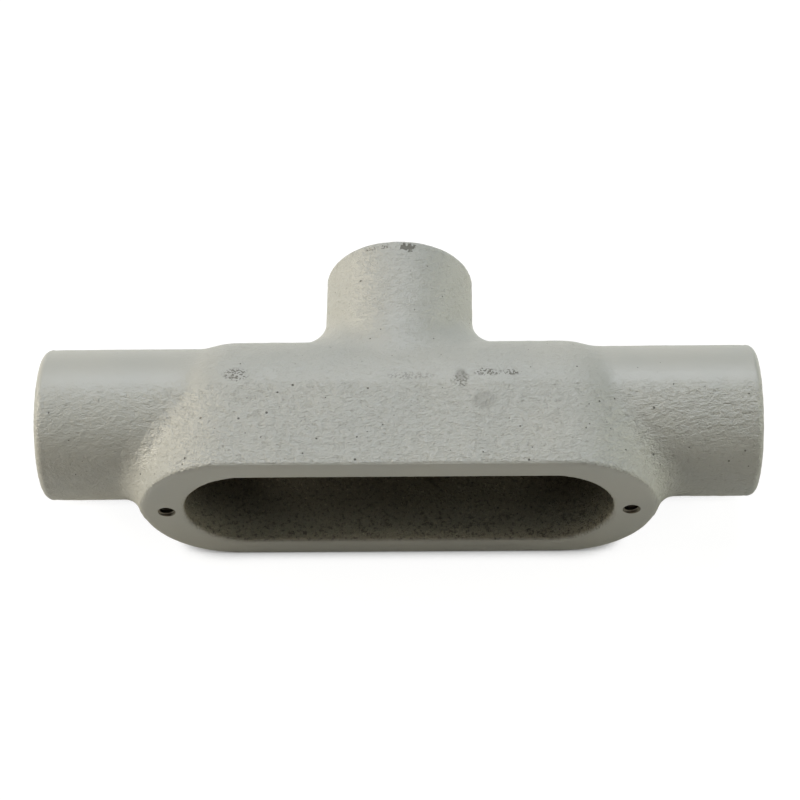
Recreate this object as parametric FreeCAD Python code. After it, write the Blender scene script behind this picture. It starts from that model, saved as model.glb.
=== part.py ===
import FreeCAD, Part
import math
import os
from FreeCAD import Vector

# Conduit body, tee with its branch out of the back, half-inch trade size.
# One iron casting: a trough-shaped chamber with a long oblong cover opening in
# front, a threaded hub at each end of the run and a third hub out of the back.
#
# While it is built, X is the run axis, +Y the branch axis and the two cross at
# the origin. The cover opening faces -Y. At the end it moves so that its origin
# is the middle of its underside. Every size is in millimetres.

# --- Hubs -------------------------------------------------------------------
run_length = 142.2        # face to face of the two run hubs
branch_reach = 34.7       # run axis to the face of the branch hub
hub_od = 30.2             # outside of every hub
hub_rim_r = 1.6           # cast rounding of a hub's outer rim
rim_flats = 2             # flats that stand for that rounding
drill_d = 18.26           # 23/32 in drill for a half-inch taper pipe thread
thread_depth = 15.5       # hub face to the shoulder that stops the conduit
mouth_chamfer = 1.5       # 45 degree lead-in at the hub's mouth
bushing_d = 15.8          # smooth integral bushing behind the thread
bushing_lip = 0.9         # bevel of the bushing towards the thread
throat_lip = 1.2          # bevel where a throat opens into the chamber

# --- Body -------------------------------------------------------------------
face_depth = 20.1         # run axis to the machined cover face
flange_length = 101.0     # cover face, end to end
flange_width = 36.2       # cover face, across
back_r = 17.5             # round back of the body
back_centre_y = -1.5      # where that round is centred, from the run axis
flange_edge = 0.42        # broken outer edge of the cover face
run_blend_r = 6.5         # fillet from a run hub up onto the body
branch_blend_r = 3.0      # fillet from the branch hub onto the back

# --- Chamber ----------------------------------------------------------------
opening_length = 84.2     # cover opening, end to end
opening_width = 26.1      # cover opening, across
wall = 3.5                # iron left behind the chamber's round back
opening_lip = 0.48        # broken edge of the opening's lip

# --- Cover screws -----------------------------------------------------------
screw_spacing = 91.3      # between the two cover screws
screw_drill_d = 2.71      # number 36 drill for a 6-32 thread
screw_depth = 8.5         # full depth of the drilled wall
screw_chamfer = 0.40      # break at the mouth of the tapped hole
drill_point_deg = 118.0   # included angle of the drill's point

# --- Worked out from the sizes above ----------------------------------------
hub_r = hub_od / 2
drill_r = drill_d / 2
bushing_r = bushing_d / 2
flange_r = flange_width / 2
flange_centre_x = flange_length / 2 - flange_r
opening_r = opening_width / 2
opening_centre_x = opening_length / 2 - opening_r
chamber_r = back_r - wall
overrun = 8.0             # how far a blank or a tool runs past the cover face
TOUCH = 0.01              # closer than this counts as touching
X_AXIS = Vector(1, 0, 0)
Y_AXIS = Vector(0, 1, 0)
Z_AXIS = Vector(0, 0, 1)
NODE = "body_casting"


def side_line(centre_y, radius, mouth_r):
    """Straight side of a trough, as its touching point on the back and its front end (y, z)."""
    dy = -face_depth - centre_y
    angle = math.atan2(mouth_r, dy) - math.acos(radius / math.hypot(dy, mouth_r))
    touch_y = centre_y + radius * math.cos(angle)
    touch_z = radius * math.sin(angle)
    slope = (mouth_r - touch_z) / (-face_depth - touch_y)
    return (touch_y, touch_z), (-face_depth - overrun, mouth_r - slope * overrun)


def trough(centre_x, centre_y, radius, mouth_r):
    """Round-backed trough with round ends, run past the cover face by the overrun."""
    (touch_y, touch_z), (front_y, front_z) = side_line(centre_y, radius, mouth_r)
    back = Vector(0, centre_y + radius, 0)
    bend = math.atan2(touch_z, touch_y - centre_y) / 2
    upper_bend = Vector(0, centre_y + radius * math.cos(bend), radius * math.sin(bend))
    upper = Vector(0, touch_y, touch_z)
    lower = Vector(0, touch_y, -touch_z)
    upper_front = Vector(0, front_y, front_z)
    lower_front = Vector(0, front_y, -front_z)
    front_axis = Vector(0, front_y, 0)
    section = Part.Face(Part.Wire([
        Part.Arc(upper, back, lower).toShape(),
        Part.makeLine(lower, lower_front),
        Part.makeLine(lower_front, upper_front),
        Part.makeLine(upper_front, upper),
    ]))
    half = Part.Face(Part.Wire([
        Part.Arc(back, upper_bend, upper).toShape(),
        Part.makeLine(upper, upper_front),
        Part.makeLine(upper_front, front_axis),
        Part.makeLine(front_axis, back),
    ]))
    section.translate(Vector(-centre_x, 0, 0))
    solid = section.extrude(Vector(2 * centre_x, 0, 0))
    for side in (-1, 1):
        profile = half.copy()
        profile.translate(Vector(side * centre_x, 0, 0))
        end = profile.revolve(Vector(side * centre_x, 0, 0), Y_AXIS, side * 180)
        solid = solid.fuse(end)
    return solid.removeSplitter().Solids[0]


def edges_on_cylinder(shape, axis, radius, near, far):
    """Edges on the cylinder round an axis through the origin, between two distances along it."""
    found = []
    for edge in shape.Edges:
        if edge.Degenerated:
            continue
        points = edge.discretize(9)
        along = [abs(p.dot(axis)) for p in points]
        off = [abs(p.cross(axis).Length - radius) for p in points]
        if max(off) < TOUCH and min(along) > near and max(along) < far:
            found.append(edge)
    return found


def edges_on_face(shape, half_length, half_width):
    """Edges in the plane of the cover face that stay inside a box about its middle."""
    found = []
    for edge in shape.Edges:
        box = edge.BoundBox
        in_plane = abs(box.YMin + face_depth) < TOUCH and abs(box.YMax + face_depth) < TOUCH
        if in_plane and box.XMax < half_length + TOUCH and box.ZMax < half_width + TOUCH:
            found.append(edge)
    return found


def turned(outline, axis):
    """Solid turned from (radius, distance) points, its distances running out along an axis."""
    points = [Vector(radius, 0, distance) for radius, distance in outline]
    solid = Part.Face(Part.makePolygon(points + points[:1])).revolve(Vector(0, 0, 0), Z_AXIS, 360)
    solid.Placement = FreeCAD.Placement(Vector(0, 0, 0), FreeCAD.Rotation(Z_AXIS, axis))
    return solid


def hub(reach, axis):
    """Plain hub blank from the crossing of the axes to its end, where its rim is rounded."""
    outline = [(0, 0), (hub_r, 0)]
    for step in range(rim_flats + 1):
        turn = math.pi / 2 * step / rim_flats
        radius = hub_r - hub_rim_r * (1 - math.cos(turn))
        outline.append((radius, reach - hub_rim_r * (1 - math.sin(turn))))
    return turned(outline + [(0, reach)], axis)


def pattern():
    """Outside of the casting: body, run hubs and branch hub with their cast blends."""
    body = trough(flange_centre_x, back_centre_y, back_r, flange_r)
    run_reach = run_length / 2
    solid = body.fuse([
        hub(run_reach, X_AXIS),
        hub(run_reach, -X_AXIS),
        hub(branch_reach, Y_AXIS),
    ]).removeSplitter()
    run_root = edges_on_cylinder(solid, X_AXIS, hub_r, 0, run_reach - hub_rim_r - TOUCH)
    solid = solid.makeFillet(run_blend_r, run_root)
    branch_root = edges_on_cylinder(solid, Y_AXIS, hub_r, 0, branch_reach - hub_rim_r - TOUCH)
    solid = solid.makeFillet(branch_blend_r, branch_root)
    waste = Part.makeBox(run_length, overrun + TOUCH, hub_od * 2,
                         Vector(-run_length / 2, -face_depth - overrun - TOUCH, -hub_od))
    solid = solid.cut(waste)
    return solid.makeChamfer(flange_edge, edges_on_face(solid, run_length, hub_od))


def hub_core(reach, axis):
    """What is bored out of a hub: lead-in, drilled wall, shoulder, bushing and throat."""
    shoulder = reach - thread_depth
    return turned([
        (0, 0),
        (0, reach),
        (drill_r + mouth_chamfer, reach),
        (drill_r, reach - mouth_chamfer),
        (drill_r, shoulder),
        (bushing_r + bushing_lip, shoulder),
        (bushing_r, shoulder - bushing_lip),
        (bushing_r, 0),
    ], axis)


def core():
    """The sand core: chamber with its mouth at the cover face, and the three hub bores."""
    chamber = trough(opening_centre_x, back_centre_y, chamber_r, opening_r)
    run_reach = run_length / 2
    solid = chamber.fuse([
        hub_core(run_reach, X_AXIS),
        hub_core(run_reach, -X_AXIS),
        hub_core(branch_reach, Y_AXIS),
    ]).removeSplitter()
    behind_lip = thread_depth + bushing_lip + TOUCH
    throats = edges_on_cylinder(solid, X_AXIS, bushing_r, 0, run_reach - behind_lip)
    throats += edges_on_cylinder(solid, Y_AXIS, bushing_r, 0, branch_reach - behind_lip)
    return solid.makeChamfer(throat_lip, throats)


def screw_hole(x):
    """Blind hole drilled for tapping, square to the cover face, with its mouth broken."""
    radius = screw_drill_d / 2
    mouth = radius + screw_chamfer
    bottom = face_depth - screw_depth
    point = radius / math.tan(math.radians(drill_point_deg / 2))
    drill = turned([
        (0, face_depth + overrun),
        (mouth, face_depth + overrun),
        (mouth, face_depth),
        (radius, face_depth - screw_chamfer),
        (radius, bottom),
        (0, bottom - point),
    ], -Y_AXIS)
    drill.translate(Vector(x, 0, 0))
    return drill


def body_casting():
    """The finished iron: pattern less core, lip broken, cover screw holes drilled."""
    solid = pattern().cut(core())
    solid = solid.makeChamfer(opening_lip, edges_on_face(solid, opening_length / 2, opening_r))
    solid = solid.cut([screw_hole(-screw_spacing / 2), screw_hole(screw_spacing / 2)])
    box = solid.optimalBoundingBox(False)
    solid.translate(Vector(0, (face_depth - branch_reach) / 2, -box.ZMin))
    return solid


os.makedirs("parts", exist_ok=True)
casting = body_casting()
casting.exportStep("parts/" + NODE + ".step")
print(NODE, "valid", casting.isValid(), "solids", len(casting.Solids), "mm3", round(casting.Volume))
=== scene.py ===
"""Conduit body: grey enamel over sand-cast iron, lying on its flat side on a pale floor."""

import math
from collections import namedtuple

import bmesh
import bpy
import numpy as np
from mathutils import Matrix, Vector, noise


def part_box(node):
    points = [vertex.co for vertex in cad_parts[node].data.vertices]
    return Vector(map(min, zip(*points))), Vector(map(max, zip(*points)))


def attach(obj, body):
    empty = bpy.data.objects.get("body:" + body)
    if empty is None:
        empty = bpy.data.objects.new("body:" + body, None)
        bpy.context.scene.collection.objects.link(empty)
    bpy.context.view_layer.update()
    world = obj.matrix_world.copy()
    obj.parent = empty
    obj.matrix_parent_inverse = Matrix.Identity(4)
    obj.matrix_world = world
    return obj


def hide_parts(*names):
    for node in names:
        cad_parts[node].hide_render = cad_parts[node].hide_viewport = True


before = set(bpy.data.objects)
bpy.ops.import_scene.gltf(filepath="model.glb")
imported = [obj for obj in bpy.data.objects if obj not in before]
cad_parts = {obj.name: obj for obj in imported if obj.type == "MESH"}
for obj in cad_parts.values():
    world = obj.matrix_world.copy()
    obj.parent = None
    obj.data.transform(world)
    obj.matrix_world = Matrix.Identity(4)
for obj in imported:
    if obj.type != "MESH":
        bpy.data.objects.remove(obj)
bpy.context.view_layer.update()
MM = 0.001

# --- Sizes shared with the solid, in millimetres ----------------------------
NODE = "body_casting"
RUN_REACH = 71.1          # crossing of the hub axes to a run hub's face
BRANCH_REACH = 34.7       # crossing to the branch hub's face
HUB_R = 15.1
HUB_RIM_R = 1.6           # cast rounding of a hub's outer rim
FACE_DEPTH = 20.1         # crossing to the cover face
THREAD_DEPTH = 15.5       # hub face to the shoulder
DRILL_R = 9.13            # pipe tap drill
MOUTH_CHAMFER = 1.5
BACK_R = 17.5
BACK_CENTRE_Y = -1.5
FLANGE_R = 18.1           # half the cover face's width, at the face
FLANGE_X = 32.4           # centre of its round end
CHAMBER_R = 14.0
CHAMBER_X = 29.05         # centre of the chamber's round end
OPENING_R = 13.05
SCREW_X = 45.65
SCREW_DRILL_R = 1.355
SCREW_DEPTH = 8.5

# --- Sizes of the looks alone, in millimetres -------------------------------
SCREW_CHAMFER = 0.4
SCREW_POINT = 1.1         # length of the drill's point below the full depth
FACE_EDGE = 0.6           # band in which the face's edge is drawn crisp
BRANCH_BLEND_R = 7.0      # cast blend where the sides of the branch hub meet the back
PARTING_Y = 1.0           # the mould's two halves met here; the half with the cover face is rougher
PAINT = 0.07              # film thickness
CLEAR = 0.002             # kept between the painted skin and the solid's own box
GRID = 0.56               # edge of the casting's surface mesh
SLACK = 0.03              # the drills take this much more, for a clean wall
HUB_STEPS = 96            # straight steps round a hub's drill, and round a screw's
SCREW_STEPS = 32

# A thread's groove: its radius at the mouth and how much that falls for each millimetre inwards,
# the radius it is cut from, the flat at its root, how far outside the mouth it starts, its turns
# and the straight steps in each turn.
Thread = namedtuple("Thread", "pitch major_r taper inner_r flat lead turns steps")
PIPE = Thread(pitch=25.4 / 14, major_r=10.61, taper=1 / 32, inner_r=DRILL_R - 0.05, flat=0.10,
              lead=0.4, turns=8.4, steps=64)
COVER_SCREW = Thread(pitch=25.4 / 32, major_r=1.753, taper=0.0, inner_r=SCREW_DRILL_R - 0.03,
                     flat=0.06, lead=0.3, turns=9.5, steps=28)
FLANK = math.radians(30)  # half the sixty degree angle of both threads
RUN_OUT = 0.8             # part of the last turn over which a groove grows shallow

low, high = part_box(NODE)
CENTRE = Vector(((low[0] + high[0]) / 2, low[1] + FACE_DEPTH * MM, (low[2] + high[2]) / 2))
TO_FACE = Vector((0, -1, 0))
HUBS = ((Vector((1, 0, 0)), RUN_REACH), (Vector((-1, 0, 0)), RUN_REACH),
        (Vector((0, 1, 0)), BRANCH_REACH))
SCREWS = tuple(CENTRE + Vector((side * SCREW_X * MM, 0, 0)) for side in (-1, 1))
TINY = 1e-6               # keeps a division away from zero


# --- Small helpers ----------------------------------------------------------
def colour(code):
    """Linear RGBA of an sRGB hex code."""
    values = [int(code[i:i + 2], 16) / 255 for i in (1, 3, 5)]
    return [v / 12.92 if v <= 0.04045 else ((v + 0.055) / 1.055) ** 2.4 for v in values] + [1.0]


def new_object(name, data):
    obj = bpy.data.objects.new(name, data)
    bpy.context.scene.collection.objects.link(obj)
    return obj


def applied(obj):
    """A new mesh: the object's own with its modifiers applied."""
    graph = bpy.context.evaluated_depsgraph_get()
    return bpy.data.meshes.new_from_object(obj.evaluated_get(graph), depsgraph=graph)


def triples(items, name):
    """A vector that each of a mesh's items holds, as rows of an array."""
    flat = np.empty(len(items) * 3)
    items.foreach_get(name, flat)
    return flat.reshape(-1, 3)


def set_points(mesh, p):
    """Moves a mesh's points to places in millimetres from the crossing."""
    mesh.vertices.foreach_set("co", (np.array(CENTRE) + p * MM).ravel())
    mesh.update()


def local(points):
    """Points in millimetres from the crossing of the hub axes."""
    return (points - np.array(CENTRE)) / MM


def ramp(values, start, end):
    """0 before start, 1 after end, smooth between."""
    t = np.clip((values - start) / (end - start), 0, 1)
    return t * t * (3 - 2 * t)


def beside(p, centre_x):
    """Distance from the middle line of an oblong whose round ends are centred at centre_x."""
    return np.hypot(np.maximum(np.abs(p[:, 0]) - centre_x, 0), p[:, 2])


def along_and_across(p, axis):
    """Splits points into their distance along an axis, the rest as a vector, and its length."""
    along = p @ axis
    across = p - np.outer(along, axis)
    return along, across, np.linalg.norm(across, axis=1)


def chamber_distance(p):
    """How far points in millimetres lie outside the chamber's wall."""
    side = beside(p, CHAMBER_X)
    behind = p[:, 1] - BACK_CENTRE_Y
    front = CHAMBER_R + (OPENING_R - CHAMBER_R) * -behind / (BACK_CENTRE_Y + FACE_DEPTH)
    round_back = np.hypot(side, np.maximum(behind, 0)) - CHAMBER_R
    return np.where(behind > 0, round_back, side - front)


# --- Cutting tools ----------------------------------------------------------
def placed(origin, axis):
    """Stands a tool's own Z along an axis."""
    return Matrix.Translation(origin) @ axis.to_track_quat("Z", "Y").to_matrix().to_4x4()


def around(radius, angle, distance):
    """A point at an angle round a tool's axis, in metres."""
    return Vector((radius * math.cos(angle), radius * math.sin(angle), distance)) * MM


def turned(bm, outline, origin, axis, steps):
    """Adds a closed solid turned from (radius, distance) pairs that start and end on the axis."""
    place = placed(origin, axis)
    first = bm.verts.new(place @ Vector((0, 0, outline[0][1] * MM)))
    last = bm.verts.new(place @ Vector((0, 0, outline[-1][1] * MM)))
    rings = []
    for radius, distance in outline[1:-1]:
        rings.append([bm.verts.new(place @ around(radius, 2 * math.pi * i / steps, distance))
                      for i in range(steps)])
    for i in range(steps):
        j = (i + 1) % steps
        bm.faces.new((first, rings[0][i], rings[0][j]))
        for near, far in zip(rings, rings[1:]):
            bm.faces.new((near[i], far[i], far[j], near[j]))
        bm.faces.new((last, rings[-1][j], rings[-1][i]))


def groove(bm, origin, axis, reach, thread):
    """Adds the closed helical ridge that cuts a thread, from outside the mouth at reach inwards."""
    place = placed(origin, axis)
    start = reach + thread.lead
    rings = []
    for i in range(int(thread.turns * thread.steps) + 1):
        angle = 2 * math.pi * i / thread.steps
        distance = start - thread.pitch * i / thread.steps
        fade = min(1.0, (thread.turns - i / thread.steps) / RUN_OUT)
        full = thread.major_r - (reach - distance) * thread.taper
        outer = thread.inner_r + max(0.01, (full - thread.inner_r) * fade)
        half = thread.flat / 2 + (outer - thread.inner_r) * math.tan(FLANK)
        section = ((thread.inner_r, -half), (outer, -thread.flat / 2),
                   (outer, thread.flat / 2), (thread.inner_r, half))
        rings.append([bm.verts.new(place @ around(r, angle, distance + t)) for r, t in section])
    for near, far in zip(rings, rings[1:]):
        for k in range(4):
            m = (k + 1) % 4
            bm.faces.new((near[k], near[m], far[m], far[k]))
    bm.faces.new(rings[0][::-1])
    bm.faces.new(rings[-1])


def finished(bm, name):
    bmesh.ops.recalc_face_normals(bm, faces=bm.faces)
    mesh = bpy.data.meshes.new(name)
    bm.to_mesh(mesh)
    bm.free()
    return new_object(name, mesh)


def drills():
    """Tap drills with their lead-ins and shoulders, for three hubs and two screws."""
    bm = bmesh.new()
    over = 1                  # the tools start this far outside the face
    wall = DRILL_R + SLACK
    for axis, reach in HUBS:
        shoulder = reach - THREAD_DEPTH - SLACK
        turned(bm, [(0, reach + over), (wall + MOUTH_CHAMFER + over, reach + over),
                    (wall, reach - MOUTH_CHAMFER), (wall, shoulder), (0, shoulder)],
               CENTRE, axis, HUB_STEPS)
    wall = SCREW_DRILL_R + SLACK
    for origin in SCREWS:
        turned(bm, [(0, FACE_DEPTH + over), (wall + SCREW_CHAMFER + over, FACE_DEPTH + over),
                    (wall, FACE_DEPTH - SCREW_CHAMFER), (wall, FACE_DEPTH - SCREW_DEPTH),
                    (0, FACE_DEPTH - SCREW_DEPTH - SCREW_POINT)],
               origin, TO_FACE, SCREW_STEPS)
    return finished(bm, "drills")


def taps():
    """The grooves of the taper pipe threads and of the cover screws' threads."""
    bm = bmesh.new()
    for axis, reach in HUBS:
        groove(bm, CENTRE, axis, reach, PIPE)
    for origin in SCREWS:
        groove(bm, origin, TO_FACE, FACE_DEPTH, COVER_SCREW)
    return finished(bm, "taps")


# --- The casting's skin -----------------------------------------------------
def branch_blend(p, passes=4):
    """Fills the corner between the branch hub's sides and the back with its full cast blend."""
    for _ in range(passes):
        r = np.maximum(np.hypot(p[:, 0], p[:, 2]), TINY)
        back = np.maximum(np.hypot(p[:, 1] - BACK_CENTRE_Y, p[:, 2]), TINY)
        from_hub, from_back = r - HUB_R, back - BACK_R
        # The two walls turn parallel at the hub's top and bottom, where the blend dies out.
        size = BRANCH_BLEND_R * (1 - p[:, 2] ** 2 / (r * back))
        u, v = np.maximum(size - from_hub, 0), np.maximum(size - from_back, 0)
        length = np.maximum(np.hypot(u, v), TINY)
        hub_out = np.stack((p[:, 0] / r, 0 * r, p[:, 2] / r), axis=1)
        back_out = np.stack((0 * r, (p[:, 1] - BACK_CENTRE_Y) / back, p[:, 2] / back), axis=1)
        slope = (u / length)[:, None] * hub_out + (v / length)[:, None] * back_out
        # Only skin on or outside both walls is moved, and none in front of the back's round.
        outside = (from_hub > -1) & (from_back > -1) & (p[:, 1] > 4)
        near = (u > 0) & (v > 0) & outside & (size > 0.5)
        steepness = np.maximum((slope ** 2).sum(axis=1), 0.5)
        step = np.where(near, (size - length) / steepness, 0)
        p = p - slope * np.minimum(step, 0)[:, None]
    return p


def round_rims(p, stray=0.3):
    """Turns the rims of the hubs into true quarter rounds; the skin strays that far from them."""
    for axis, reach in HUBS:
        a = np.array(axis)
        along, across, radius = along_and_across(p, a)
        u = along - (reach - HUB_RIM_R)
        v = radius - (HUB_R - HUB_RIM_R)
        near = (u > 0) & (v > 0) & (u < HUB_RIM_R + stray) & (v < HUB_RIM_R + stray)
        scale = np.where(near, HUB_RIM_R / np.maximum(np.hypot(u, v), TINY), 1.0)
        along_new = np.where(near, reach - HUB_RIM_R + u * scale, along)
        radius_new = np.where(near, HUB_R - HUB_RIM_R + v * scale, radius)
        p = np.outer(along_new, a) + across * (radius_new / np.maximum(radius, TINY))[:, None]
    return p


def crisp_face_edge(p, stray=0.1):
    """Brings the cover face's outer edge out to a nearly square corner.

    Its section is a quarter of a superellipse of the third power.
    """
    side = beside(p, FLANGE_X)
    draft = (FLANGE_R - BACK_R) * (BACK_CENTRE_Y - p[:, 1]) / (BACK_CENTRE_Y + FACE_DEPTH)
    u = FACE_EDGE - (BACK_R + draft - side)
    v = FACE_EDGE - (p[:, 1] + FACE_DEPTH)
    near = (u > 0) & (v > 0) & (u < FACE_EDGE + stray)
    size = np.cbrt(np.abs(u) ** 3 + np.abs(v) ** 3)
    scale = np.where(near, FACE_EDGE / np.maximum(size, TINY), 1.0)
    centre_x = np.clip(p[:, 0], -FLANGE_X, FLANGE_X)
    ratio = 1 + u * (scale - 1) / np.maximum(side, TINY)
    q = p.copy()
    q[:, 0] = centre_x + (p[:, 0] - centre_x) * ratio
    q[:, 2] = p[:, 2] * ratio
    q[:, 1] = np.where(near, FACE_EDGE - FACE_DEPTH - v * scale, p[:, 1])
    return q


# Around each mouth, in millimetres: the radius that what lies below the face is drawn in to, the
# radius of the ring made flat, and how deep both go.
HUB_MOUTH = (DRILL_R - 0.4, DRILL_R + MOUTH_CHAMFER + 1.2, 2.0)
SCREW_MOUTH = (1.1, 2.9, 0.9)


def close_mouths(p):
    """Flattens the surface around each bore's mouth, so that only the tools shape the mouth."""
    mouths = [(np.zeros(3), axis, reach, HUB_MOUTH) for axis, reach in HUBS]
    mouths += [(np.array((side * SCREW_X, 0, 0)), TO_FACE, FACE_DEPTH, SCREW_MOUTH)
               for side in (-1, 1)]
    for origin, axis, reach, (inner, outer, depth) in mouths:
        along, across, radius = along_and_across(p - origin, np.array(axis))
        near = (radius < outer) & (along > reach - depth)
        # What lay below the face goes inside the drill's path, the rest of the ring stays put.
        sunk = near & (along < reach - 0.02) & (radius < outer - 0.6)
        shrink = np.where(sunk, np.minimum(1, inner / np.maximum(radius, TINY)), 1.0)
        moved = origin + np.outer(np.where(near, reach, along), axis) + across * shrink[:, None]
        p = np.where(near[:, None], moved, p)
    return p


# Where one finish gives way to the next: the two ends of a ramp, in millimetres.
CORE_WALL = (0.5, 1.4)    # outwards from the chamber's wall
GROUND_FACE = (0.15, 0.6)  # back from the cover face
ROUGH_HALF = (PARTING_Y - 3.4, PARTING_Y + 0.8)
WIDE_BODY = (36.0, 46.0)  # along the run, both ways
BRANCH_END = (14.0, 18.0)
LEFT_HUB = (-54.0, -42.0)


def zones(p):
    """How much each point is the core's wall, the ground cover face, and the mould's rough half.

    Behind the parting, the wide body and the end of the branch hub are part rough. The sand was
    finer towards the left hub.
    """
    inside = 1 - ramp(chamber_distance(p), *CORE_WALL)
    flat = 1 - ramp(p[:, 1] + FACE_DEPTH, *GROUND_FACE)
    rough = 1 - ramp(p[:, 1], *ROUGH_HALF)
    body = 0.5 * (1 - ramp(np.abs(p[:, 0]), *WIDE_BODY))
    branch = 0.75 * ramp(p[:, 1], *BRANCH_END)
    coarse = 0.7 + 0.62 * ramp(p[:, 0], *LEFT_HUB)
    return inside * (1 - flat), flat, np.maximum(rough, np.maximum(body, branch)) * coarse


WAVE = 9.0                # left by the mould
LUMP = 2.3                # clumps of sand
GRAIN = 1.3               # single grains under the paint


def lumps(p, size, seed):
    """Smooth noise between -1 and 1 with features of that size in millimetres."""
    shift = Vector((seed * 17.3, seed * -9.1, seed * 5.7))
    return np.array([noise.noise(Vector(q) / size + shift) for q in p])


def cast_skin(mesh):
    """Moves the surface by what sand, core and paint leave: low broad waves and small lumps."""
    normals = triples(mesh.vertex_normals, "vector")
    p = close_mouths(round_rims(branch_blend(local(triples(mesh.vertices, "co")))))
    inside, flat, rough = zones(p)
    waves, clumps, grains = lumps(p, WAVE, 1), lumps(p, LUMP, 2), lumps(p, GRAIN, 3)
    outside = waves * 0.04 + (clumps * 0.05 + grains * 0.03) * (0.3 + 0.7 * rough) + PAINT
    core = waves * 0.08 + clumps * 0.05 + grains * 0.04
    height = (outside * (1 - inside) + core * inside) * (1 - 0.9 * flat)
    least = (np.array(low) - CENTRE) / MM + CLEAR
    most = (np.array(high) - CENTRE) / MM - CLEAR
    set_points(mesh, np.clip(p + normals * height[:, None], least, most))


def welded(source):
    """A copy of a solid's mesh with its faces joined along their edges."""
    mesh = source.data.copy()
    bm = bmesh.new()
    bm.from_mesh(mesh)
    bmesh.ops.remove_doubles(bm, verts=bm.verts, dist=1e-6)
    bm.to_mesh(mesh)
    bm.free()
    mesh.materials.clear()
    return mesh


# How often the skin is eased: all over, and again behind the cover face to draw the cast blends.
EASE_ROUNDS = 2
BLEND_ROUNDS = 14
BEHIND_FACE = 1.2         # millimetres behind the cover face where the second easing starts
KEPT_FACES = 0.70         # share of the skin's faces that thinning keeps


def casting():
    """The one iron piece: remeshed skin, then bores and threads cut clean."""
    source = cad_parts[NODE]
    blank = new_object("blank", welded(source))
    remesh = blank.modifiers.new("skin", "REMESH")
    remesh.mode = "VOXEL"
    remesh.voxel_size = GRID * MM
    wrap = blank.modifiers.new("wrap", "SHRINKWRAP")
    wrap.target = source
    wrap.wrap_method = "NEAREST_SURFACEPOINT"
    body = new_object("conduit_body_casting", applied(blank))
    p = crisp_face_edge(local(triples(body.data.vertices, "co")))
    set_points(body.data, p)
    behind_face = body.vertex_groups.new(name="behind_face")
    for index in np.flatnonzero(p[:, 1] > BEHIND_FACE - FACE_DEPTH):
        behind_face.add([int(index)], 1.0, "REPLACE")
    for name, rounds, group in (("ease", EASE_ROUNDS, ""),
                                ("blend", BLEND_ROUNDS, behind_face.name)):
        soften = body.modifiers.new(name, "SMOOTH")
        soften.factor = 0.5
        soften.iterations = rounds
        soften.vertex_group = group
    skin = applied(body)
    body.modifiers.clear()
    body.data = skin
    cast_skin(skin)
    thin = body.modifiers.new("thin", "DECIMATE")
    thin.ratio = KEPT_FACES
    tools = [drills(), taps()]
    for tool in tools:
        cut = body.modifiers.new(tool.name, "BOOLEAN")
        cut.operation = "DIFFERENCE"
        cut.solver = "MANIFOLD"
        cut.object = tool
    body.data = applied(body)
    body.modifiers.clear()
    for spare in tools + [blank]:
        bpy.data.objects.remove(spare)
    return body


body = casting()


# --- Materials --------------------------------------------------------------
SMOOTH = {"interpolation_type": "SMOOTHSTEP"}  # a MapRange that eases in and out
COLOURS = {"data_type": "RGBA", "out": 2}      # a Mix of two colours, its inputs 6 and 7

# Sizes of the patterns in the enamel and under it, in millimetres.
SPRAY_CLOUD = 16.0        # unevenness of a coat sprayed in one pass
PEEL = 1.0                # orange peel of a thick coat
SAND = 0.36               # moulding sand is near 0.25, too fine to show, so it is drawn coarser
WRINKLE = 0.62            # ridges of the film's own skin as it dried
DRAWN_OUT = (0.62, 1.0, 1.0)  # the three above are 1.6 times as long along the run
CORE_GRIT = 0.5           # core sand is near 0.3 and is drawn coarser, as it has to show in shade
CORE_GRAIN_SHADE = 0.8           # painted shade between the core's grains
POCK = 0.95               # shallow pocks where a clump of sand fell away
PINHOLE_CELL = 2.5        # one pinhole at most in each cell of this size
PINHOLE_R = (0.1125, 0.2625)  # least and most, before the sand's coarseness counts
SPECKLE = 0.42            # what a rub leaves: the tops of single sand grains
RAGGED = 0.8              # steps in the edge of a chip
BEND = 1 / 1.1            # waves in the outline of a chip
BEND_REACH = 3.2          # how far they carry it at their strongest
OIL_STAIN = 1.6           # about a pipe thread's pitch

# Heights in the relief, in millimetres from the deepest to the highest of each pattern.
PEEL_HEIGHT = 0.26
SAND_HEIGHT = 0.20
WRINKLE_HEIGHT = 0.05
GRIT_HEIGHT = 0.78
PINHOLE_HEIGHT = 0.12
POCK_HEIGHT = 0.03

# Rubs and chips: place and reach in millimetres from the crossing, strength, and what breaks
# them up.
MARKS = (
    ((-31.4, 0.9, 17.4), (3.2, 1.9, 3.0), 0.95, "speckle"),
    ((2.5, 0.3, 17.4), (6.0, 1.1, 3.0), 0.45, "speckle"),
    ((12.4, 0.4, 17.4), (1.5, 1.9, 3.0), 0.38, "smudge"),
    ((12.4, -0.4, 17.4), (1.9, 2.7, 3.0), 0.75, "speckle"),
    ((17.6, 1.0, 17.4), (3.6, 1.1, 3.0), 0.95, "speckle"),
    ((22.3, 1.0, 17.4), (2.4, 1.0, 3.0), 0.95, "speckle"),
    ((16.9, -5.6, 17.6), (3.2, 2.6, 3.0), 0.24, "smudge"),
    ((1.6, 32.7, 15.0), (1.9, 1.3, 2.0), 0.90, "solid"),
    ((-2.9, 32.9, 14.8), (0.9, 0.5, 2.0), 0.75, "solid"),
    ((-5.4, 32.9, 14.0), (1.8, 0.5, 2.0), 0.80, "speckle"),
)


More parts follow.
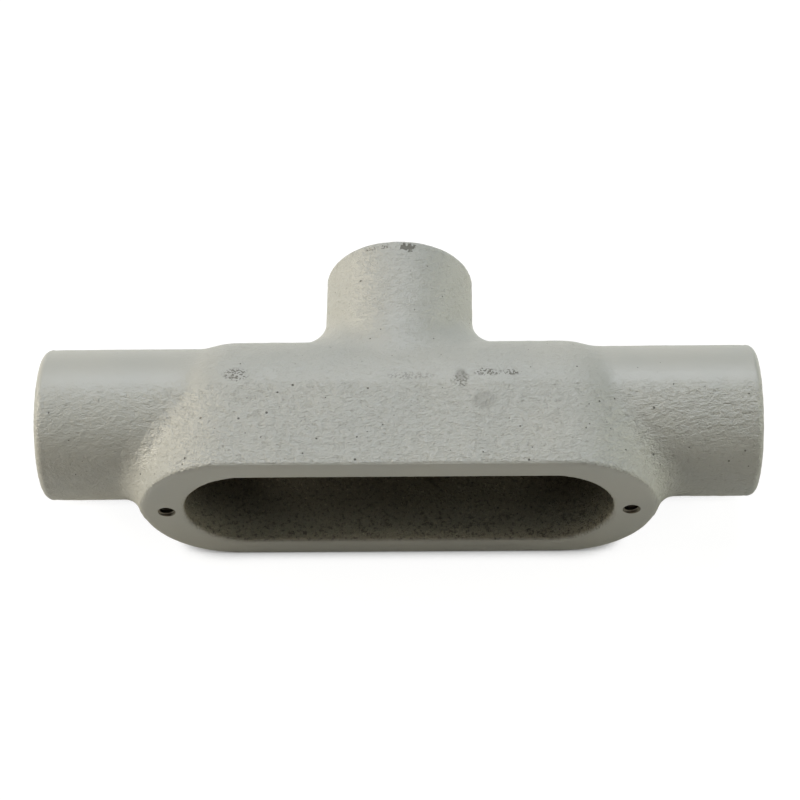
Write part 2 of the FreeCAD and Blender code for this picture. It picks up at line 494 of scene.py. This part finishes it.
def add(tree, kind, inputs=(), out=0, **settings):
    """Adds a shader node with its settings and gives one of its outputs.

    The inputs come in order, or by name or number. Each takes a value or another node's output.
    """
    made = tree.nodes.new("ShaderNode" + kind)
    for key, value in settings.items():
        setattr(made, key, value)
    for key, value in inputs.items() if isinstance(inputs, dict) else enumerate(inputs):
        if isinstance(value, bpy.types.NodeSocket):
            tree.links.new(value, made.inputs[key])
        else:
            made.inputs[key].default_value = value
    return made.outputs[out] if len(made.outputs) else made


def new_material(name):
    material = bpy.data.materials.new(name)
    material.use_nodes = True
    tree = material.node_tree
    tree.nodes.clear()
    return material, tree


def millimetres(tree):
    """Place on the casting in millimetres from the crossing of the hub axes."""
    coords = add(tree, "TexCoord", out="Object")
    from_crossing = add(tree, "VectorMath", (coords, CENTRE), operation="SUBTRACT")
    return add(tree, "VectorMath", {0: from_crossing, "Scale": 1000.0}, operation="SCALE")


def patches(tree, place, size, start, end, detail=2.0, roughness=0.5):
    """Uneven patches about that many millimetres across, 0 at start of their noise and 1 at end."""
    cloud = add(tree, "TexNoise", {"Vector": place, "Scale": 1 / size, "Detail": detail,
                                   "Roughness": roughness})
    return add(tree, "MapRange", (cloud, start, end), **SMOOTH)


def spot(tree, place, centre, reach):
    """1 at a place on the casting, in millimetres from the crossing, falling to 0 at its reach."""
    away = add(tree, "VectorMath", (place, centre), operation="SUBTRACT")
    scaled = add(tree, "VectorMath", (away, [1 / r for r in reach]), operation="MULTIPLY")
    distance = add(tree, "VectorMath", (scaled,), operation="LENGTH", out="Value")
    return add(tree, "MapRange", (distance, 1.0, 0.5), **SMOOTH)


def coats(tree, under, layers):
    """A colour with others laid over it in turn: where each shows, how strongly, its hex code."""
    for where, strength, code in layers:
        share = add(tree, "Math", (where, strength), operation="MULTIPLY")
        under = add(tree, "Mix", {0: share, 6: under, 7: colour(code)}, **COLOURS)
    return under


def pinholes(tree, place, rough):
    """1 in holes where the film did not close over a gap in the sand, larger on the rough half."""
    distance = add(tree, "TexVoronoi", {"Vector": place, "Scale": 1 / PINHOLE_CELL,
                                        "Randomness": 1.0}, out="Distance")
    chance = add(tree, "SeparateColor", (distance.node.outputs["Color"],))
    least, most = (r / PINHOLE_CELL for r in PINHOLE_R)
    radius = add(tree, "MapRange", (chance, 0.0, 1.0, least, most))
    larger = add(tree, "Math", (rough, 0.45, 0.45), operation="MULTIPLY_ADD")
    radius = add(tree, "Math", (radius, larger), operation="MULTIPLY")
    sunk = add(tree, "Math", (radius, distance), operation="SUBTRACT")
    return add(tree, "MapRange", (sunk, -0.012, 0.018), **SMOOTH)


def rubs_and_chips(tree, place):
    """How far the paint is gone: specks on the sand's tops in a rub, the whole film in a chip."""
    speckle = patches(tree, place, SPECKLE, 0.47, 0.58)
    ragged = patches(tree, place, RAGGED, 0.40, 0.60)
    bend = add(tree, "TexNoise", {"Vector": place, "Scale": 1 / BEND}, out="Color")
    bend = add(tree, "VectorMath", (bend, (0.5, 0.5, 0.5)), operation="SUBTRACT")
    bent = add(tree, "VectorMath", (bend, (BEND_REACH,) * 3, place), operation="MULTIPLY_ADD")
    worn = 0.0
    for centre, reach, strength, pattern in MARKS:
        mark = spot(tree, bent if pattern == "solid" else place, centre, reach)
        if pattern == "solid":
            mark = add(tree, "Math", (ragged, 0.35, mark), operation="MULTIPLY_ADD")
            mark = add(tree, "MapRange", (mark, 0.45, 0.60), **SMOOTH)
        elif pattern == "speckle":
            mark = add(tree, "Math", (mark, speckle), operation="MULTIPLY")
        mark = add(tree, "Math", (mark, strength), operation="MULTIPLY")
        worn = add(tree, "Math", (worn, mark), operation="MAXIMUM")
    return worn


def cast_relief(tree, place, cast, rough):
    """Peel, sand and wrinkles in millimetres, low behind the parting, lower on the ground face."""
    drawn = add(tree, "VectorMath", (place, DRAWN_OUT), operation="MULTIPLY")
    peel = add(tree, "TexNoise", {"Vector": drawn, "Scale": 1 / PEEL, "Roughness": 0.55})
    sand = add(tree, "TexNoise", {"Vector": drawn, "Scale": 1 / SAND, "Roughness": 0.6})
    film = add(tree, "TexNoise", {"Vector": drawn, "Scale": 1 / WRINKLE, "Detail": 1.0})
    film = add(tree, "Math", (film, 0.5), operation="SUBTRACT")
    film = add(tree, "Math", (film,), operation="ABSOLUTE")
    fold = add(tree, "MapRange", (film, 0.05, 0.0), **SMOOTH)
    low_peel = add(tree, "MapRange", (peel, 0.56, 0.44), **SMOOTH)
    fold = add(tree, "Math", (fold, low_peel), operation="MULTIPLY")
    height = add(tree, "Math", (peel, PEEL_HEIGHT), operation="MULTIPLY")
    for part, part_height in ((sand, SAND_HEIGHT), (fold, -WRINKLE_HEIGHT)):
        height = add(tree, "Math", (part, part_height, height), operation="MULTIPLY_ADD")
    for zone, gain in ((rough, 0.87), (cast, 0.92)):
        kept = add(tree, "Math", (zone, gain, 1 - gain), operation="MULTIPLY_ADD")
        height = add(tree, "Math", (height, kept), operation="MULTIPLY")
    return height


def enamel_on_iron():
    """Grey air-dried enamel, sprayed in one coat on sand-cast iron and left as it dried.

    To the eye it is a flat mid grey with a low, broken sheen: orange peel and the sand's skin
    scatter every highlight on the rough half, and the smoother half behind the parting holds it
    better. Open pinholes and pocks are dark specks of painted shade, and rubs show the dull skin
    of the iron. In the cored chamber it is drab and gritty over coarser sand, with its colour
    painted darker with depth as shade, painted shade between the grains and painted glints on
    their tops.
    """
    material, tree = new_material("grey_enamel_iron")
    place = millimetres(tree)
    inside, flat, rough = (add(tree, "Attribute", attribute_name=name, out="Fac")
                           for name in ("inside", "flat", "rough"))
    cast, outside = (add(tree, "Math", (1.0, zone), operation="SUBTRACT")
                     for zone in (flat, inside))
    pinhole_with_painted_shade = add(tree, "Math", (pinholes(tree, place, rough), cast), operation="MULTIPLY")
    pock_with_painted_shade = add(tree, "Math", (patches(tree, place, POCK, 0.60, 0.72), cast), operation="MULTIPLY")
    pock_with_painted_shade = add(tree, "Math", (pock_with_painted_shade, rough), operation="MULTIPLY")
    worn = rubs_and_chips(tree, place)

    # The coat outside is nearly even. In the chamber the colour is painted shade: paler near the
    # opening and darker towards its floor, with painted shade between the grains and painted glints
    # on their tops.
    clouds = patches(tree, place, SPRAY_CLOUD, 0.3, 0.7, detail=3.0)
    paint = add(tree, "Mix", {0: clouds, 6: colour("#A3A5A4"), 7: colour("#A7A8A6")}, **COLOURS)
    # Painted shade: the chamber's colour darkens with depth from the opening.
    sunk = add(tree, "SeparateXYZ", (place,), out="Y")
    sunk = add(tree, "MapRange", (sunk, -18.5, -9.0), **SMOOTH)
    core = add(tree, "Mix", {0: sunk, 6: colour("#A19C8D"), 7: colour("#716D5E")}, **COLOURS)
    # Dark specks between the grains are painted shade.
    painted_grain_shade = patches(tree, place, CORE_GRAIN_SHADE, 0.50, 0.65, detail=3.0, roughness=0.7)
    # Pale specks on the grains' tops are painted glints.
    painted_glints = patches(tree, place, CORE_GRIT, 0.33, 0.27, detail=1.0)
    core = coats(tree, core, ((painted_grain_shade, 0.66, "#2B281F"), (painted_glints, 0.6, "#B4AE98")))
    paint = add(tree, "Mix", {0: inside, 6: paint, 7: core}, **COLOURS)
    # Pinholes are darkened past bare iron, and pocks a little: painted shade in their hollows. Worn
    # places show the bare iron.
    paint = coats(tree, paint, ((pinhole_with_painted_shade, 0.85, "#34332D"), (pock_with_painted_shade, 0.22, "#6B6A62"),
                                (worn, outside, "#5A5952")))

    # Relief of the outside, then the core's grit, the pinholes and the pocks.
    height = cast_relief(tree, place, cast, rough)
    grit = add(tree, "TexNoise", {"Vector": place, "Scale": 1 / CORE_GRIT, "Roughness": 0.7})
    grit = add(tree, "Math", (grit, inside), operation="MULTIPLY")
    for part, part_height in ((grit, GRIT_HEIGHT), (pinhole_with_painted_shade, -PINHOLE_HEIGHT),
                              (pock_with_painted_shade, -POCK_HEIGHT)):
        height = add(tree, "Math", (part, part_height, height), operation="MULTIPLY_ADD")

    # Enamel starts from an IOR of 1.5 and a roughness of 0.35. Heavy pigment lifts the one, and
    # peel finer than what is drawn lifts the other. Worn places are duller still.
    shader = add(tree, "BsdfPrincipled", {
        "Base Color": paint,
        "Roughness": add(tree, "Math", (worn, 0.15, 0.42), operation="MULTIPLY_ADD"),
        "IOR": 1.68,
        "Normal": add(tree, "Bump", {"Height": height, "Strength": 1.0, "Distance": MM}),
    })
    add(tree, "OutputMaterial", (shader,))
    return material


def cut_iron():
    """Threads cut into the iron after casting, with a film of old cutting oil.

    To the eye it is dark bare metal, darker where the oil lies and grey-brown between. The marks of
    the tap are far too fine to show, so it is only toned in stains. The real stains are finer, and
    they are drawn as coarse as the thread, so that they show.
    """
    material, tree = new_material("cut_iron_thread")
    stain = add(tree, "TexNoise", {"Vector": millimetres(tree), "Scale": 1 / OIL_STAIN,
                                   "Detail": 4.0, "Roughness": 0.6})
    tone = add(tree, "Mix", {0: stain, 6: colour("#5B5851"), 7: colour("#8A867C")}, **COLOURS)
    shader = add(tree, "BsdfPrincipled", {"Base Color": tone, "Metallic": 1.0, "Roughness": 0.42})
    add(tree, "OutputMaterial", (shader,))
    return material


def is_cut(c):
    """Which places the drills and taps have left as bare iron, threads and lead-ins alike."""
    cut = np.zeros(len(c), bool)
    for axis, reach in HUBS:
        along, _, across = along_and_across(c, np.array(axis))
        deep = reach - along
        lead_in = PIPE.major_r + 0.03 - deep
        grooves = PIPE.major_r + 0.05 - deep / 40  # clear of the taper all the way in
        within = (deep > 0.03) & (deep < THREAD_DEPTH + 0.1)
        cut |= within & (across < np.maximum(grooves, lead_in))
    for side in (-1, 1):
        across = np.hypot(c[:, 0] - side * SCREW_X, c[:, 2])
        deep = c[:, 1] + FACE_DEPTH
        within = (deep > 0.05) & (deep < SCREW_DEPTH + 1.5)
        cut |= within & (across < COVER_SCREW.major_r + 0.06)
    return cut


def finish_casting(body):
    """Zones, materials and shading of the cut mesh."""
    mesh = body.data
    p = local(triples(mesh.vertices, "co"))
    for name, values in zip(("inside", "flat", "rough"), zones(p)):
        layer = mesh.attributes.new(name, "FLOAT", "POINT")
        layer.data.foreach_set("value", values.astype(np.float32))
    mesh.materials.clear()
    mesh.materials.append(enamel_on_iron())
    mesh.materials.append(cut_iron())
    cut = is_cut(local(triples(mesh.polygons, "center")))
    mesh.polygons.foreach_set("material_index", cut.astype(np.int32))
    mesh.polygons.foreach_set("use_smooth", np.ones(len(cut), bool))
    mesh.set_sharp_from_angle(angle=math.radians(38))
    mesh.update()
    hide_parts(NODE)
    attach(body, "root")


finish_casting(body)


# --- Floor, light and camera ------------------------------------------------
def painted_board():
    """Matt white board, painted.

    To the eye it is plain white but for a soft shadow within a few millimetres of the casting,
    painted into its glow from ambient occlusion, and it bounces a little light onto its sides.
    """
    material, tree = new_material("pale_floor")
    bounce = add(tree, "BsdfDiffuse", (colour("#E8E8E5"),))
    lit = add(tree, "BsdfDiffuse", (colour("#5F5F5F"),))
    # Painted shadow: the glow dims where ambient occlusion finds the casting within 6 mm.
    open_sky = add(tree, "AmbientOcclusion", {"Distance": 6 * MM}, samples=12, out="AO")
    open_sky = add(tree, "MapRange", (open_sky, 0.42, 0.66), **SMOOTH)
    strength = add(tree, "Math", (open_sky, 0.72, 0.23), operation="MULTIPLY_ADD")
    glow = add(tree, "Emission", {"Color": (1, 1, 1, 1), "Strength": strength})
    shown = add(tree, "AddShader", (lit, glow))
    seen = add(tree, "LightPath", out="Is Camera Ray")
    add(tree, "OutputMaterial", (add(tree, "MixShader", (seen, bounce, shown)),))
    return material


def floor(half_width=4.0):
    """Pale seamless floor."""
    bm = bmesh.new()
    bmesh.ops.create_grid(bm, x_segments=1, y_segments=1, size=half_width)
    mesh = bpy.data.meshes.new("pale_floor")
    bm.to_mesh(mesh)
    bm.free()
    mesh.materials.append(painted_board())
    new_object("pale_floor", mesh)


def softbox(name, place, width, height, power, tint):
    """Rectangular area light aimed at the casting; metres and watts."""
    data = bpy.data.lights.new(name, "AREA")
    data.shape = "RECTANGLE"
    data.size = width
    data.size_y = height
    data.energy = power
    data.color = colour(tint)[:3]
    made = new_object(name, data)
    made.location = place
    made.rotation_euler = (CENTRE - Vector(place)).to_track_quat("-Z", "Y").to_euler()


def room(strength, tint):
    """Even light of the room, white where the camera sees past the floor."""
    world = bpy.data.worlds.new("pale_room")
    bpy.context.scene.world = world
    world.use_nodes = True
    tree = world.node_tree
    tree.nodes.clear()
    even = add(tree, "Background", {"Color": colour(tint), "Strength": strength})
    white = add(tree, "Background", {"Color": (1, 1, 1, 1), "Strength": 1.0})
    seen = add(tree, "LightPath", out="Is Camera Ray")
    add(tree, "OutputWorld", (add(tree, "MixShader", (seen, even, white)),))


def camera():
    """Looks down into the cover opening, turned and rolled about two degrees to the left."""
    azimuth, elevation, roll = (math.radians(a) for a in (-2.093, 58.555, -2.209))
    from_crossing = Vector((7.914, -205.986, 345.856)) * MM
    forward = Vector((math.sin(azimuth) * math.cos(elevation),
                      math.cos(azimuth) * math.cos(elevation), -math.sin(elevation)))
    level = Vector((math.cos(azimuth), -math.sin(azimuth), 0))
    upright = level.cross(forward)
    right = level * math.cos(roll) + upright * math.sin(roll)
    up = upright * math.cos(roll) - level * math.sin(roll)
    data = bpy.data.cameras.new("camera")
    data.sensor_width = 36.0
    data.lens = 89.89
    data.clip_start = 0.01
    made = new_object("camera", data)
    turn = Matrix((right, up, -forward)).transposed().to_4x4()
    made.matrix_world = Matrix.Translation(CENTRE + from_crossing) @ turn
    bpy.context.scene.camera = made


floor()
softbox("key_above_behind", (0.05, 0.64, 0.94), 0.9, 0.6, 6.9, "#E8F1FF")
softbox("left_warm", (-1.0, 0.14, 0.56), 0.5, 0.5, 13.2, "#FFF5DE")
softbox("right_warm", (1.0, 0.1, 0.5), 0.5, 0.5, 6.7, "#FFFCE2")
softbox("front_above", (0.1, -0.45, 1.1), 0.7, 0.5, 1.2, "#F4FFFA")
softbox("front_low", (0.0, -1.0, 0.35), 0.8, 0.4, 0.5, "#FFDABD")
room(0.01, "#FFFFFF")
camera()
bpy.context.scene.view_settings.view_transform = "Standard"
